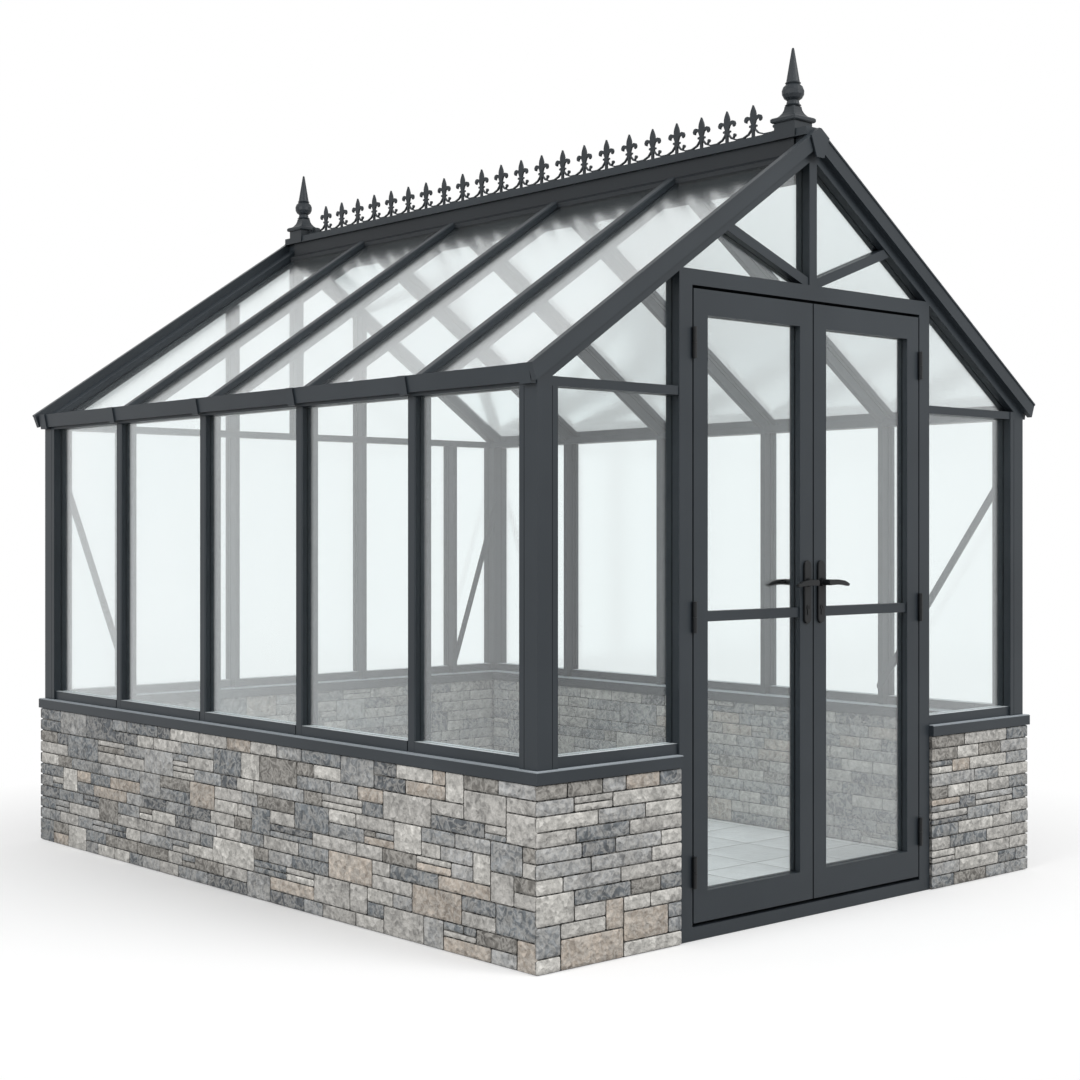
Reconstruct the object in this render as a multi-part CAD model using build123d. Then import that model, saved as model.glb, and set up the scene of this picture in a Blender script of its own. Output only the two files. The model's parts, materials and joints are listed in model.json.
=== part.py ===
from build123d import *
import math
import os

# Glass greenhouse on a stone dwarf wall, in millimetres. The origin is at the centre of the
# footprint at ground level, +X runs right along the door gable, +Y towards the back gable,
# +Z up. Pieces that repeat are drawn once for the right side or the front and mirrored.

os.makedirs("parts", exist_ok=True)

# Dwarf wall, floor and cill
base_width = 2480
base_length = 3100
wall_height = 545
wall_thickness = 150
floor_thickness = 30
cill_height = 38
cill_proud = 3
cill_lip = 7
cill_chamfer = 3

# Frame: every outer face of the frame stands frame_inset behind the stone face
side_bays = 5
frame_inset = 16
frame_depth = 58
glass_setback = 30
glass_thickness = 4
roof_glass_inset = 2
pane_hold = 8
clearance = 0.3
post_side = 58
post_bead = 22
line_width = 2
base_rail_height = 34
base_rail_setback = 8
bar_cap_width = 38
bar_cap_proud = 21
bar_cap_bevel = 4
bar_neck_width = 12
bar_neck_gap = 2
bar_flange_inset = 2.5
bar_flange_depth = 10
bar_stem_width = 24

# Eaves, gutter and roof
eaves_height = 1732
beam_height = 28
beam_drop = 40
roof_pitch = 34
gutter_drop = 30
gutter_height = 52
gutter_wall = 3
gutter_reach = 16
gutter_lean = 10
gutter_lip = 6
gutter_cover_width = 39
gutter_cover_thickness = 6
gutter_cover_rise = 3
gutter_end_length = 50
gutter_end_gap = 4
rafter_drop = 26
rafter_slot = 13
verge_upstand = 4.2
verge_cap_width = 49
verge_cap_height = 26
verge_spacer = 4
barge_thickness = 20
barge_bottom = 6
barge_top = 58
barge_lip = 3
barge_lip_height = 6
barge_end_reach = 24
barge_end_lean = 20
barge_mitre_gap = 2
apex_plate_thickness = 5
apex_plate_half_width = 46
apex_plate_drop = 100
apex_plate_round = 12

# Ridge, cresting and finials
ridge_beam_width = 60
ridge_beam_depth = 143
ridge_rise = 46
ridge_flashing_reach = 22
ridge_flashing_height = 12
ridge_cap_width = 80
ridge_cap_height = 28
ridge_cap_lip = 3
ridge_cap_lip_height = 5
finial_setback = 103
pedestal_side = 90
pedestal_height = 28
plate_side = 108
plate_height = 17
plate_round = 4
pyramid_height = 39
pyramid_base = 84
pyramid_top = 40
pyramid_waist = 0.42
ring_radius = 28
ring_height = 8
neck_radius = 20
neck_height = 12
ball_radius = 38
ball_height = 55
collar_radius = 27
collar_height = 8
spike_radius = 23
spike_height = 115
spike_tip_radius = 4.5
finial_sides = 16
crest_spacing = 121
crest_end_room = 110
crest_height = 109
crest_thickness = 8
crest_bar = 5
crest_bar_low = 2
crest_rail_height = 12
crest_link_sides = 6
crest_link_rise = 36
crest_curl_radius = 6
crest_curl = (0.7, 0.19)
crest_twig_share = 0.8
fleur_reach = 39.5
# Right half of a fleur from its foot up, as shares of its reach and of the cresting's height:
# the stem, the collar, the leaf's underside, its hanging tip and back, and the spear.
fleur_side = [
    (0.13, 0.00), (0.13, 0.30), (0.42, 0.31), (0.42, 0.365), (0.19, 0.385), (0.35, 0.53),
    (0.56, 0.565), (0.70, 0.535), (0.76, 0.465), (0.95, 0.50), (1.00, 0.57), (0.89, 0.65),
    (0.66, 0.675), (0.30, 0.635), (0.305, 0.73), (0.24, 0.82),
]

# Door frame and front gable
door_frame_width = 1278
door_post_width = 58
door_head_height = 50
door_head_lap = 12
threshold_height = 42
door_stop_depth = 8
door_stop_reach = 10
door_stop_joint = 1
transom_setback = 3
king_post_width = 38
strut_width = 32
strut_reach = 400
strut_setback = 4
strut_inner_depth = 16

# Doors
leaf_stop_gap = 5
leaf_side_gap = 6
leaf_meeting_gap = 6
leaf_top_gap = 10
leaf_bottom_gap = 12
leaf_bevel = 3.5
stile_width = 64
top_rail_height = 80
bottom_rail_height = 95
mid_rail_height = 32
mid_rail_centre = 1005
mid_rail_setback = 6
leaf_glass_setback = 21
hinge_foot_inset = 159
hinge_top_inset = 170
hinge_length = 98
hinge_radius = 7.5
hinge_pin_radius = 3
hinge_pin_clearance = 0.3
hinge_pin_reach = 24
hinge_flap = 2
hinge_flap_depth = 30
hinge_gap = 1
handle_plate_width = 34
handle_plate_height = 209
handle_plate_bottom = 967
handle_plate_thickness = 9
lever_height = 1103
keyhole_height = 1012
plate_bevel = 2
lock_radius = 8.5
lock_height = 33
lock_leg_width = 10
lock_proud = 2
key_slot_width = 2.5
key_slot_height = 10
spindle_radius = 4
spindle_clearance = 1
lever_rose_radius = 14
lever_rose_height = 9
lever_neck_radius = 10
lever_neck_length = 40
lever_length = 95
lever_width = 19
lever_tip_width = 11
lever_thickness = 12
lever_droop = 8

# Back gable and braces
back_outer_share = 0.72
back_inner_share = 0.28
brace_width = 28
brace_corner = 9
brace_thickness = 6
brace_top = 1430
brace_foot = 40
brace_end_inset = 10
pane_spacing = 6

# Worked out from the sizes above
half_width = base_width / 2
half_length = base_length / 2
face_x = half_width - frame_inset
face_y = half_length - frame_inset
glass_x = face_x - glass_setback
cill_top = wall_height + cill_height
base_rail_top = cill_top + base_rail_height
post_reach = post_side + post_bead
inner_depth = post_reach
beam_bottom = eaves_height - beam_drop
beam_top = beam_bottom + beam_height
beam_inner = face_x - inner_depth
gutter_bottom = eaves_height - gutter_drop
cos_pitch = math.cos(math.radians(roof_pitch))
sin_pitch = math.sin(math.radians(roof_pitch))
tan_pitch = math.tan(math.radians(roof_pitch))
roof_apex = eaves_height + glass_x * tan_pitch
bay = base_length / side_bays
bay_lines = [-half_length + bay * i for i in range(1, side_bays)]
mullion_edge = bar_neck_width / 2 + bar_neck_gap
opening_half = door_frame_width / 2
jamb_x = opening_half - door_post_width
ridge_cap_bottom = roof_apex + ridge_rise
ridge_cap_top = ridge_cap_bottom + ridge_cap_height
crest_root = fleur_side[0][0] * fleur_reach + crest_bar * 0.4
back_outer_mullion = half_width * back_outer_share
back_inner_mullion = half_width * back_inner_share
far = 4000
overrun = 200


def block(x_range, y_range, z_range):
    """A block between a low and a high value on each axis."""
    low = [min(r) for r in (x_range, y_range, z_range)]
    size = [max(r) - min(r) for r in (x_range, y_range, z_range)]
    return Pos(*low) * Box(*size, align=(Align.MIN,) * 3)


def prism_y(points, y_range):
    """A polygon of (x, z) points run along Y."""
    outline = make_face(Polyline(*points, close=True))
    return extrude(Plane.XZ.offset(-max(y_range)) * outline, max(y_range) - min(y_range))


def prism_z(points, z_range):
    """A polygon of (x, y) points run up Z."""
    outline = make_face(Polyline(*points, close=True))
    return extrude(Plane.XY.offset(min(z_range)) * outline, max(z_range) - min(z_range))


def bar(section, start, along, outward, length):
    """A section run from start along a direction, with its own v axis turned outward."""
    across = Vector(*outward).cross(Vector(*along))
    return extrude(Plane(origin=start, x_dir=across, z_dir=along) * section, length)


def left_right(shape):
    return [shape, mirror(shape, Plane.YZ)]


def front_back(shape):
    return [shape, mirror(shape, Plane.XZ)]


def four_corners(shape):
    return [copy for side in left_right(shape) for copy in front_back(side)]


def front(depth):
    """Y of a plane at a depth behind the front gable's outer face."""
    return -face_y + depth


def roof_z(x, out=0):
    """Height of the roof glass's outer face at x, moved outward along its normal."""
    return eaves_height + (glass_x - abs(x)) * tan_pitch + out / cos_pitch


def roof_x(z, out=0):
    """Distance from the centre at which the roof line, moved outward, has this height."""
    return glass_x - (z - eaves_height - out / cos_pitch) / tan_pitch


head_top = roof_z(opening_half, -rafter_drop) + door_head_lap
door_head_bottom = head_top - door_head_height


def chords(points, curve, count):
    """The points with a curve added as chords, from just after its start to its end."""
    return points + [tuple(curve @ (i / count))[:2] for i in range(1, count + 1)]


def write(name, shapes):
    solids = [solid for shape in shapes for solid in shape.solids()]
    export_step(Compound(children=solids), f"parts/{name}.step")


# Panes. Each takes its slack: 0 for the glass, or more for the slot that a frame holds it in.
glass_front = front(glass_setback)
glass_back = front(glass_setback + glass_thickness)
pane_bottom = base_rail_top - pane_hold
pane_top = beam_bottom + pane_hold


def side_pane(index, slack=0):
    """Pane of the right wall, between bay lines, or between one and a corner post."""
    end = face_y - post_reach + pane_hold + mullion_edge
    lines = [-end] + bay_lines + [end]
    thick = clearance if slack else 0
    return block(
        (glass_x - glass_thickness - thick, glass_x + thick),
        (lines[index] + mullion_edge - slack, lines[index + 1] - mullion_edge + slack),
        (pane_bottom - slack, pane_top + slack),
    )


def gable_pane(x_range, z_low, z_high=far, slack=0):
    """Upright pane of the front gable; it stops under the rafter where that comes lower."""
    thick = clearance if slack else 0
    x_in, x_out = x_range[0] - slack, x_range[1] + slack
    flat = block((x_in, x_out), (glass_front - thick, glass_back + thick), (z_low - slack, z_high + slack))
    out = -rafter_slot - clearance + slack * cos_pitch
    under_roof = [(x_in, 0), (x_out, 0), (x_out, roof_z(x_out, out)), (x_in, roof_z(x_in, out))]
    return flat & prism_y(under_roof, (glass_front - far, glass_back + far))


def front_lower_pane(slack=0):
    return gable_pane(
        (opening_half - pane_hold, face_x - post_reach + pane_hold), pane_bottom, pane_top, slack
    )


def front_transom_pane(slack=0):
    reach = roof_x(beam_top, -rafter_drop) + pane_hold
    return gable_pane((opening_half - pane_hold, reach), beam_top - pane_hold, far, slack)


def front_head_pane(slack=0):
    span = (king_post_width / 2 - pane_hold, opening_half - pane_hold - pane_spacing)
    return gable_pane(span, head_top - pane_hold, far, slack)


def back_lower_panes(slack=0):
    spans = [
        (-back_inner_mullion + mullion_edge, back_inner_mullion - mullion_edge),
        (back_inner_mullion + mullion_edge, back_outer_mullion - mullion_edge),
        (back_outer_mullion + mullion_edge, face_x - post_reach + pane_hold),
    ]
    return [gable_pane(span, pane_bottom, pane_top, slack) for span in spans]


def back_upper_panes(slack=0):
    reach = roof_x(beam_top, -rafter_drop) + pane_hold
    spans = [
        (king_post_width / 2 - pane_hold, back_inner_mullion - mullion_edge),
        (back_inner_mullion + mullion_edge, reach),
    ]
    return [gable_pane(span, beam_top - pane_hold, far, slack) for span in spans]


side_slots = [side_pane(i, slack=1) for i in range(side_bays)]
front_slots = [front_lower_pane(1), front_transom_pane(1), front_head_pane(1)]
back_slots = back_lower_panes(1) + back_upper_panes(1)


def slotted(shape, slots):
    for slot in slots:
        shape = shape - slot
    return shape


# Masonry
def dwarf_walls():
    inner_x = half_width - wall_thickness
    inner_y = half_length - wall_thickness
    height = (0, wall_height)
    side = block((inner_x, half_width), (-half_length, half_length), height)
    write("dwarf_walls_side", left_right(side))
    write("dwarf_wall_back", [block((-inner_x, inner_x), (inner_y, half_length), height)])
    front_right = block((opening_half, inner_x), (-half_length, -inner_y), height)
    write("dwarf_walls_front", left_right(front_right))


def floor_slab():
    inner_x = half_width - wall_thickness
    inner_y = half_length - wall_thickness
    room = block((-inner_x, inner_x), (-inner_y, inner_y), (0, floor_thickness))
    doorway = block(
        (-opening_half, opening_half), (front(frame_depth), -inner_y), (0, floor_thickness)
    )
    write("floor_slab", [room + doorway])


def cills():
    out_x, out_y = half_width + cill_proud, half_length + cill_proud
    in_x = half_width - wall_thickness - cill_lip
    in_y = half_length - wall_thickness - cill_lip
    height = (wall_height, cill_top)
    side = prism_z([(out_x, -out_y), (out_x, out_y), (in_x, in_y), (in_x, -in_y)], height)
    back = prism_z([(out_x, out_y), (-out_x, out_y), (-in_x, in_y), (in_x, in_y)], height)
    near = prism_z(
        [(out_x, -out_y), (in_x, -in_y), (opening_half, -in_y), (opening_half, -out_y)], height
    )
    side = chamfer(side.edges().filter_by(Axis.Y).sort_by(Axis.X)[-2:].sort_by(Axis.Z)[-1], cill_chamfer)
    back = chamfer(back.edges().filter_by(Axis.X).sort_by(Axis.Y)[-2:].sort_by(Axis.Z)[-1], cill_chamfer)
    near = chamfer(near.edges().filter_by(Axis.X).sort_by(Axis.Y)[:2].sort_by(Axis.Z)[-1], cill_chamfer)
    write("cills_side", left_right(side))
    write("cill_back", [back])
    write("cills_front", left_right(near))


# Frame of the walls
def glazing_bar_section():
    """Bevelled cap, neck and T-shaped stem: u across the bar, v out of the glass plane."""
    cap, neck = bar_cap_width / 2, bar_neck_width / 2
    flange, stem = cap - bar_flange_inset, bar_stem_width / 2
    inner = glass_setback - inner_depth
    half = [
        (0, bar_cap_proud),
        (cap - bar_cap_bevel, bar_cap_proud),
        (cap, bar_cap_proud - bar_cap_bevel),
        (cap, clearance),
        (neck, clearance),
        (neck, -glass_thickness),
        (flange, -glass_thickness),
        (flange, -glass_thickness - bar_flange_depth),
        (stem, -glass_thickness - bar_flange_depth),
        (stem, inner),
        (0, inner),
    ]
    other = [(-u, v) for u, v in half[-2:0:-1]]
    return make_face(Polyline(*half, *other, close=True))


def corner_posts():
    def beside(length, depth):
        return Rectangle(length, depth, align=Align.MIN) + Rectangle(depth, length, align=Align.MIN)

    core = Rectangle(inner_depth - glass_setback, inner_depth - glass_setback, align=Align.MIN)
    core = Pos(glass_setback, glass_setback) * core
    section = beside(post_reach, frame_depth) + core
    line = Rectangle(line_width, line_width, align=(Align.CENTER, Align.MIN))
    section -= Pos(post_side, 0) * line
    section -= Pos(0, post_side) * Rot(0, 0, -90) * line
    post = extrude(Plane((face_x, -face_y, cill_top), x_dir=(-1, 0, 0), z_dir=(0, 0, -1)) * section,
                   -(beam_bottom - cill_top))
    front_post = slotted(post, side_slots[:1] + front_slots[:1])
    back_post = slotted(post, side_slots[:1] + back_slots[2:3])
    write("corner_posts", left_right(front_post) + [mirror(p, Plane.XZ) for p in left_right(back_post)])


def side_mullions():
    section = glazing_bar_section()
    length = beam_bottom - cill_top
    bars = [
        bar(section, (glass_x, y, cill_top), (0, 0, 1), (1, 0, 0), length) for y in bay_lines
    ]
    write("side_mullions", [copy for b in bars for copy in left_right(b)])


def base_rails():
    depth = (face_x - frame_depth, face_x - base_rail_setback)
    height = (cill_top, base_rail_top)
    cap = bar_cap_width / 2
    end = face_y - post_reach
    lines = [-end - cap] + bay_lines + [end + cap]
    side_rails = [
        block(depth, (lines[i] + cap, lines[i + 1] - cap), height) - side_slots[i]
        for i in range(side_bays)
    ]
    y_range = (front(base_rail_setback), front(frame_depth))
    near = block((opening_half, face_x - post_reach), y_range, height) - front_slots[0]
    lines = [back_inner_mullion, back_outer_mullion, face_x - post_reach + cap]
    far_rails = [
        block((lines[i] + cap, lines[i + 1] - cap), y_range, height) - back_slots[i + 1]
        for i in range(2)
    ]
    middle = block((cap - lines[0], lines[0] - cap), y_range, height) - back_slots[0]
    back_rails = [mirror(rail, Plane.XZ) for rail in far_rails]
    cores = four_corners(
        block((face_x - inner_depth, face_x), (-face_y, front(inner_depth)), (cill_top, beam_bottom))
    )
    rails = [slotted(rail, cores) for rail in side_rails + [near] + back_rails]
    paired = [copy for rail in rails for copy in left_right(rail)]
    write("base_rails", paired + [mirror(middle, Plane.XZ)])


def eaves_seat(low_x):
    """Top of the eaves beam from low_x inward: it slopes under the roof glass, then runs level."""
    return [
        (low_x, roof_z(low_x, -glass_thickness)),
        (roof_x(beam_top, -glass_thickness), beam_top),
        (beam_inner, beam_top),
    ]


def eaves_beams():
    profile = [(beam_inner, beam_bottom), (face_x, beam_bottom)] + eaves_seat(face_x)
    beam = prism_y(profile, (-face_y, face_y))
    back = [mirror(slot, Plane.XZ) for slot in back_slots]
    write("eaves_beams", left_right(slotted(beam, side_slots + front_slots + back)))


def gutter_line(out=0):
    """Bottom and top corner of the leaning fascia's outer face, moved outward."""
    low_x = face_x + gutter_reach + out
    return (low_x, gutter_bottom), (low_x + gutter_lean, gutter_bottom + gutter_height)


def gutters():
    low, high = gutter_line()
    inner_low, inner_high = gutter_line(-gutter_wall)
    floor_z = gutter_bottom + gutter_wall
    back_z = roof_z(face_x, -glass_thickness)
    lean = gutter_lean / gutter_height
    profile = [
        (face_x, gutter_bottom),
        low,
        high,
        (high[0] - gutter_wall - gutter_lip, high[1]),
        (high[0] - gutter_wall - gutter_lip, high[1] - gutter_wall),
        (inner_high[0] - gutter_wall * lean, high[1] - gutter_wall),
        (inner_low[0] + gutter_wall * lean, floor_z),
        (face_x + gutter_wall, floor_z),
        (face_x + gutter_wall, back_z),
        (face_x, back_z),
    ]
    end = face_y - gutter_end_gap - gutter_end_length
    gutter = prism_y(profile, (-end, end))
    write("gutters", left_right(gutter))
    (a, b), (c, d) = gutter_line(gutter_cover_thickness)
    foot_z = beam_bottom + gutter_cover_rise
    foot = lean * (gutter_bottom - foot_z)
    cover_profile = [(low[0] - foot, foot_z), (a - foot, foot_z), (c, d), high]
    half = gutter_cover_width / 2
    covers = [prism_y(cover_profile, (y - half, y + half)) for y in bay_lines]
    end_profile = [(face_x, foot_z), (a - foot, foot_z), (c, d), (face_x + gutter_wall, d), (face_x, back_z)]
    end_piece = prism_y(end_profile, (-end - gutter_end_length, -end))
    joints = [copy for cover in covers for copy in left_right(cover)]
    write("gutter_covers", joints + four_corners(end_piece))


# Roof
def roof_bar_space():
    """Room left for the roof bars between the ridge and the eaves."""
    ridge_x = ridge_beam_width / 2
    flashing_x = ridge_x + ridge_flashing_reach
    low_x = face_x - clearance
    return prism_y(
        [
            (ridge_x, 0),
            (ridge_x, roof_z(ridge_x, clearance)),
            (flashing_x, roof_z(flashing_x, clearance)),
            (flashing_x, far),
            (low_x, far),
            *eaves_seat(low_x),
            (beam_inner, 0),
        ],
        (-half_length, half_length),
    )


def roof_bars():
    section = glazing_bar_section()
    start_x = half_width + overrun
    length = 2 * start_x / cos_pitch
    up, out = (-cos_pitch, 0, sin_pitch), (sin_pitch, 0, cos_pitch)
    bars = [bar(section, (start_x, y, roof_z(start_x)), up, out, length) for y in bay_lines]
    bars = [b & roof_bar_space() for b in bars]
    write("roof_bars", [copy for b in bars for copy in left_right(b)])


def roof_glass():
    top_x = ridge_beam_width / 2 + roof_glass_inset
    low_x = face_x - roof_glass_inset
    outline = [
        (top_x, roof_z(top_x)),
        (low_x, roof_z(low_x)),
        (low_x, roof_z(low_x, -glass_thickness)),
        (top_x, roof_z(top_x, -glass_thickness)),
    ]
    end = face_y - glass_setback + mullion_edge
    lines = [-end] + bay_lines + [end]
    panes = [
        prism_y(outline, (lines[i] + mullion_edge, lines[i + 1] - mullion_edge))
        for i in range(side_bays)
    ]
    write("roof_glass", [copy for pane in panes for copy in left_right(pane)])


def slope_run(points, keep):
    """A (depth, out) section run up the right slope of the front gable, kept inside a prism."""
    section = make_face(Polyline(*[(-depth, out) for depth, out in points], close=True))
    start_x = half_width + overrun
    start = (start_x, -face_y, roof_z(start_x))
    run = bar(section, start, (-cos_pitch, 0, sin_pitch), (sin_pitch, 0, cos_pitch), 2 * start_x / cos_pitch)
    return run & prism_y(keep, (-half_length - overrun, 0))


def gable_rafters():
    hold = glass_setback - clearance
    inner = glass_setback + glass_thickness + clearance
    points = [
        (0, -rafter_drop),
        (0, verge_upstand),
        (hold, verge_upstand),
        (hold, -glass_thickness),
        (frame_depth, -glass_thickness),
        (frame_depth, -rafter_drop),
        (inner, -rafter_drop),
        (inner, -rafter_slot),
        (hold, -rafter_slot),
        (hold, -rafter_drop),
    ]
    top_x = king_post_width / 2
    keep = [(top_x, beam_top), (top_x, far), (face_x, far)] + eaves_seat(face_x)
    rafter = slope_run(points, keep)
    lap = block((0, opening_half), (-face_y, front(frame_depth)), (0, head_top))
    near = left_right(rafter - lap)
    write("gable_rafters", near + [mirror(side, Plane.XZ) for side in left_right(rafter)])


def verge_caps():
    hold = glass_setback - clearance
    back = verge_cap_width - verge_spacer
    points = [
        (-verge_spacer, verge_upstand),
        (hold, verge_upstand),
        (hold, clearance),
        (back, clearance),
        (back, verge_cap_height - bar_cap_bevel),
        (back - bar_cap_bevel, verge_cap_height),
        (-verge_spacer, verge_cap_height),
    ]
    top_x = king_post_width / 2
    low_x = face_x - clearance
    keep = [(top_x, 0), (low_x, 0), (low_x, far), (top_x, far)]
    write("verge_caps", four_corners(slope_run(points, keep)))


def bargeboards():
    back = -verge_spacer
    face = back - barge_thickness
    points = [
        (back, barge_bottom),
        (face, barge_bottom),
        (face, barge_top - barge_lip_height),
        (face - barge_lip, barge_top - barge_lip_height),
        (face - barge_lip, barge_top),
        (back, barge_top),
    ]
    end_x = face_x + barge_end_reach
    lean = barge_end_lean / gutter_height
    top_x = barge_mitre_gap / 2
    keep = [
        (top_x, 0),
        (end_x - lean * gutter_bottom, 0),
        (end_x + lean * (far - gutter_bottom), far),
        (top_x, far),
    ]
    write("bargeboards", four_corners(slope_run(points, keep)))


def apex_plates():
    peak = roof_z(0, barge_top)
    half = apex_plate_half_width
    outline = Polyline(
        (0, peak),
        (half, peak - half * tan_pitch),
        (king_post_width / 2, peak - apex_plate_drop),
        (-king_post_width / 2, peak - apex_plate_drop),
        (-half, peak - half * tan_pitch),
        close=True,
    )
    face = make_face(outline)
    face = fillet(face.vertices().sort_by(Axis.Y)[-1:], apex_plate_round)
    back_y = front(-verge_spacer - barge_thickness - barge_lip)
    plate = extrude(Plane.XZ.offset(-back_y) * face, apex_plate_thickness)
    write("apex_plates", front_back(plate))


def ridge():
    half = ridge_beam_width / 2
    flash = half + ridge_flashing_reach
    bottom = ridge_cap_bottom - ridge_beam_depth
    right = [
        (half, bottom),
        (half, roof_z(half, clearance)),
        (flash, roof_z(flash, clearance)),
        (flash, roof_z(flash, ridge_flashing_height)),
        (half, roof_z(half, ridge_flashing_height)),
        (half, ridge_cap_bottom),
    ]
    left = [(-x, z) for x, z in reversed(right)]
    end = face_y - frame_depth
    write("ridge_beam", [prism_y(right + left, (-end, end))])
    half = ridge_cap_width / 2
    lip = half + ridge_cap_lip
    lip_z = ridge_cap_bottom + ridge_cap_lip_height
    right = [(lip, ridge_cap_bottom), (lip, lip_z), (half, lip_z), (half, ridge_cap_top)]
    left = [(-x, z) for x, z in reversed(right)]
    end = face_y + verge_spacer
    write("ridge_cap", [prism_y(right + left, (-end, end))])


finial_y = half_length - finial_setback
pedestal_top = ridge_cap_top + pedestal_height


def finials():
    half = pedestal_side / 2
    body = block((-half, half), (-finial_y - half, -finial_y + half), (ridge_cap_bottom, pedestal_top))
    gap = clearance
    ridge_x = ridge_cap_width / 2
    lip_x = ridge_x + ridge_cap_lip
    lip_z = ridge_cap_bottom + ridge_cap_lip_height
    span = (-face_y, 0)
    body -= block((-ridge_x - gap, ridge_x + gap), span, (0, ridge_cap_top))
    body -= block((-lip_x - gap, lip_x + gap), span, (0, lip_z + gap))
    write("finial_pedestals", front_back(body))
    plate = Pos(0, -finial_y, pedestal_top) * Box(
        plate_side, plate_side, plate_height, align=(Align.CENTER, Align.CENTER, Align.MIN)
    )
    plate = chamfer(plate.edges().filter_by(Axis.Z, reverse=True), plate_round)
    pyramid_z = pedestal_top + plate_height
    top, base = pyramid_top / 2, pyramid_base / 2
    waist = (top + (base - top) * (1 - pyramid_waist) / 2, pyramid_height * pyramid_waist)
    right = chords([(top, pyramid_height)], ThreePointArc((top, pyramid_height), waist, (base, 0)), 4)
    outline = make_face(Polyline(*right, *[(-x, z) for x, z in right[::-1]], close=True))
    along_y = extrude(Plane.XZ * outline, pyramid_base, both=True)
    along_x = extrude(Plane.YZ * outline, pyramid_base, both=True)
    pyramid = Pos(0, -finial_y, pyramid_z) * (along_y & along_x)
    turned = Pos(0, -finial_y, pyramid_z + pyramid_height) * turned_finial()
    write("finials", front_back(plate + pyramid + turned))


def turned_finial():
    """Ring, neck, ball, collar and spike as one turned profile, drawn with flat sides."""
    z1 = ring_height
    z2 = z1 + neck_height
    z3 = z2 + ball_height
    z4 = z3 + collar_height
    z5 = z4 + spike_height
    tip = spike_tip_radius
    profile = [(spike_radius, 0), (ring_radius, z1 / 2), (spike_radius, z1), (neck_radius, z2)]
    ball = ThreePointArc((neck_radius, z2), (ball_radius, z2 + ball_height * 0.45), (spike_radius, z3))
    profile = chords(profile, ball, 5)
    profile += [(collar_radius, (z3 + z4) / 2), (spike_radius, z4), (tip, z5 - tip)]
    profile += [(tip * 0.7, z5 - tip * 0.3), (tip * 0.3, z5)]
    return loft([Pos(0, 0, z) * RegularPolygon(radius, finial_sides) for radius, z in profile], ruled=True)


def cresting():
    """Fleurs-de-lis on a low rail, linked by hanging scrolls that end at the finials."""
    end = finial_y - pedestal_side / 2
    spaces = int(2 * (end - crest_end_room) // crest_spacing)
    last = spaces / 2 * crest_spacing
    places = [i * crest_spacing - last for i in range(spaces + 1)]
    units = [Pos(s, 0) * fleur() for s in places]
    link = crest_link(crest_spacing - crest_root, crest_link_rise)
    units += [Pos(s, 0) * link for s in places[:-1]]
    end_rise = pedestal_height - clearance - crest_rail_height
    end_link = Pos(last, 0) * crest_link(end - last - clearance - crest_bar / 2, end_rise)
    rail = Pos(0, -crest_rail_height / 2) * Rectangle(2 * (end - clearance), crest_rail_height)
    outline = Sketch() + units + [end_link, mirror(end_link, Plane.YZ), rail]
    crest = extrude(Plane.YZ.offset(-crest_thickness / 2) * outline, crest_thickness)
    write("ridge_cresting", [Pos(0, 0, ridge_cap_top + crest_rail_height) * crest])


def fleur():
    """Stem, collar, drooping side leaves and spear as one outline: (along the ridge, up)."""
    right = [(u * fleur_reach, v * crest_height) for u, v in fleur_side]
    left = [(-u, v) for u, v in right[::-1]]
    return make_face(Polyline(*right, (0, crest_height), *left, close=True))


def crest_link(end, end_rise):
    """A scroll hanging from a collar to end, upright at both ends, with a small curl in it."""
    middle = (crest_root + end) / 2
    turn = math.pi / crest_link_sides
    grow = 1 / math.cos(turn / 2)
    sag = []
    for i in range(crest_link_sides):
        angle = turn * (i + 0.5)
        rise = crest_link_rise if angle < math.pi / 2 else end_rise
        drop = (rise - crest_bar_low) * grow * math.sin(angle)
        sag.append((middle - (middle - crest_root) * grow * math.cos(angle), rise - drop))
    band = trace(Polyline((crest_root, crest_link_rise), *sag, (end, end_rise)), crest_bar)
    span = crest_root + end
    curl_at = (span * crest_curl[0], crest_height * crest_curl[1])
    curl = Pos(*curl_at) * RegularPolygon(crest_curl_radius, 6)
    twig_sag = (end_rise - crest_bar_low) * math.sqrt(1 - (2 * crest_twig_share - 1) ** 2)
    twig_end = (crest_root + (end - crest_root) * crest_twig_share, end_rise - twig_sag)
    return Sketch() + [band, curl, trace(Line(curl_at, twig_end), crest_bar)]


# Front gable
def door_frame():
    y_range = (-face_y, front(frame_depth))
    post = block((jamb_x, opening_half), y_range, (0, door_head_bottom))
    write("door_posts", left_right(slotted(post, front_slots)))
    head = block((-opening_half, opening_half), y_range, (door_head_bottom, head_top))
    slots = [copy for slot in front_slots for copy in left_right(slot)]
    write("door_head", [slotted(head, slots)])
    write("threshold", [block((-jamb_x, jamb_x), y_range, (0, threshold_height))])


def door_stops():
    """Strips behind the leaves on the posts, the head and the threshold."""
    y_range = (front(frame_depth - door_stop_depth), front(frame_depth))
    stop_x = jamb_x - door_stop_reach
    side = block((stop_x, jamb_x), y_range, (threshold_height, door_head_bottom))
    between = (door_stop_joint - stop_x, stop_x - door_stop_joint)
    top = block(between, y_range, (door_head_bottom - door_stop_reach - leaf_top_gap, door_head_bottom))
    low = block(between, y_range, (threshold_height, leaf_bottom + door_stop_reach))
    write("door_stops", left_right(side) + [top, low])


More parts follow.
